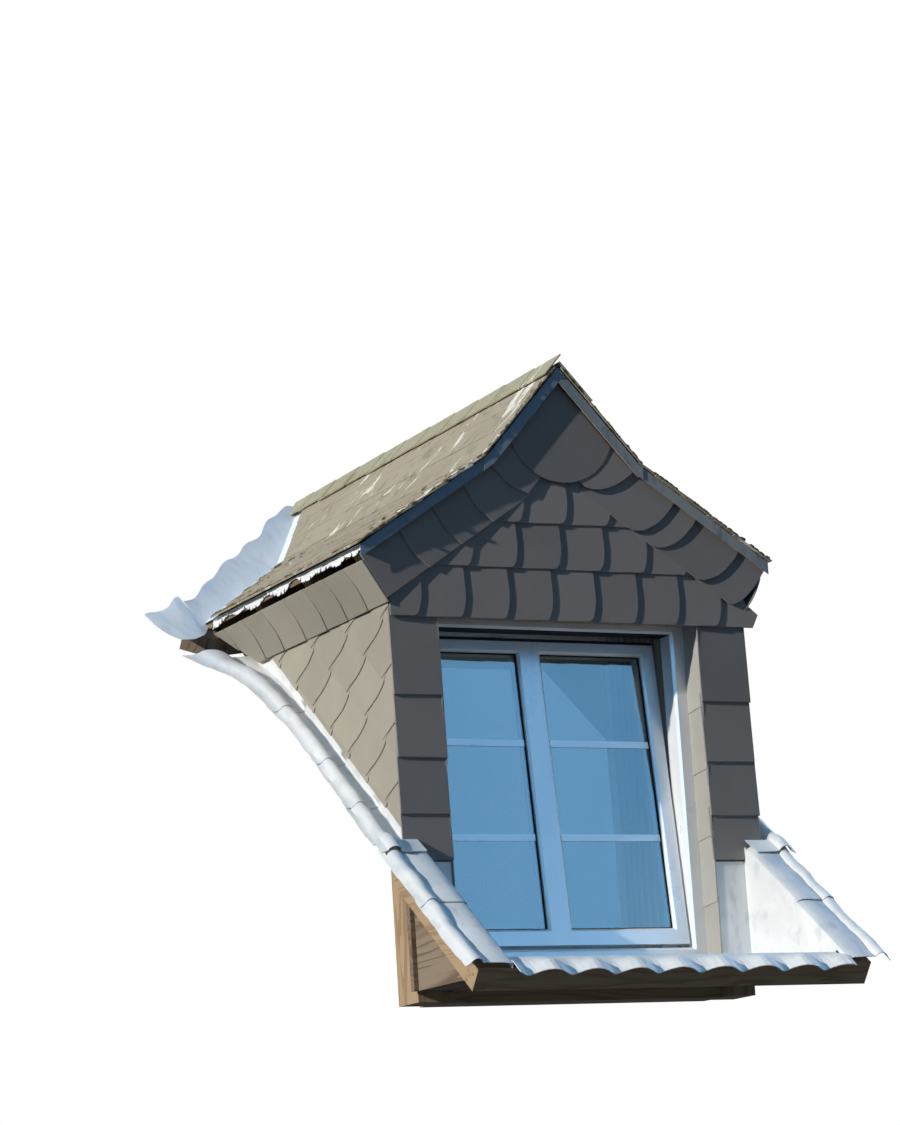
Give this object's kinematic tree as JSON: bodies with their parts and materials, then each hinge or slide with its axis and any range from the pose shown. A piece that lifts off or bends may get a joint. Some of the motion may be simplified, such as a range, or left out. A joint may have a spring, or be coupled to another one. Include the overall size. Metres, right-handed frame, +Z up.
{
  "type": "dormer window",
  "caption": "Slate-hung gable dormer with flared eaves, hollow timber frame, lead-lined recess shelf and a tilted white window.",
  "frame": {"origin": "middle of the underside of the front bearer, on the deck plane of the main roof", "axes": "+X to the right seen from outside, +Y back into the roof along the ridge, +Z up"},
  "size_m": [1.986, 2.8094, 2.1949],
  "materials": {
    "timber": "rough sawn softwood",
    "sheathing": "planed softwood boards",
    "white_paint": "white painted boards",
    "slate": "riven slate, dull",
    "roof_slate": "weathered slate with lichen",
    "zinc": "dull weathered zinc sheet",
    "lead": "dull dressed lead sheet",
    "glass": "clear double glazing",
    "pvc": "white window profile",
    "hardware": "plated steel fittings"
  },
  "bodies": {
    "root": {"front_bearer": "timber", "recess_bearers": "timber", "sole_plates": "timber", "corner_posts": "timber", "sill_beam": "timber", "head_beam": "timber", "top_plates": "timber", "wall_studs": "timber", "ridge_board": "timber", "rafters": "timber", "ceiling_joists": "timber", "valley_boards": "timber", "cheek_boards": "sheathing", "front_boards": "sheathing", "reveal_linings": "sheathing", "roof_boards_left": "sheathing", "roof_boards_right": "sheathing", "recess_boards": "sheathing", "inner_linings": "white_paint", "inner_sill": "white_paint", "cheek_slates_left": "slate", "cheek_slates_right": "slate", "gable_slates": "slate", "verge_slates": "slate", "pier_slates": "slate", "reveal_slates": "slate", "roof_slates_left": "roof_slate", "roof_slates_right": "roof_slate", "ridge_slates": "roof_slate", "verge_trim_left": "zinc", "verge_trim_right": "zinc", "eaves_strips": "zinc", "valley_left": "zinc", "valley_right": "zinc", "cheek_flashing_left": "zinc", "cheek_flashing_right": "zinc", "side_strips": "lead", "corner_leads": "lead", "apron": "lead", "recess_lining": "lead", "window_frame": "pvc", "sash": "pvc", "glass_panes": "glass", "window_fittings": "hardware", "sash_handle": "pvc"}
  },
  "joints": []
}
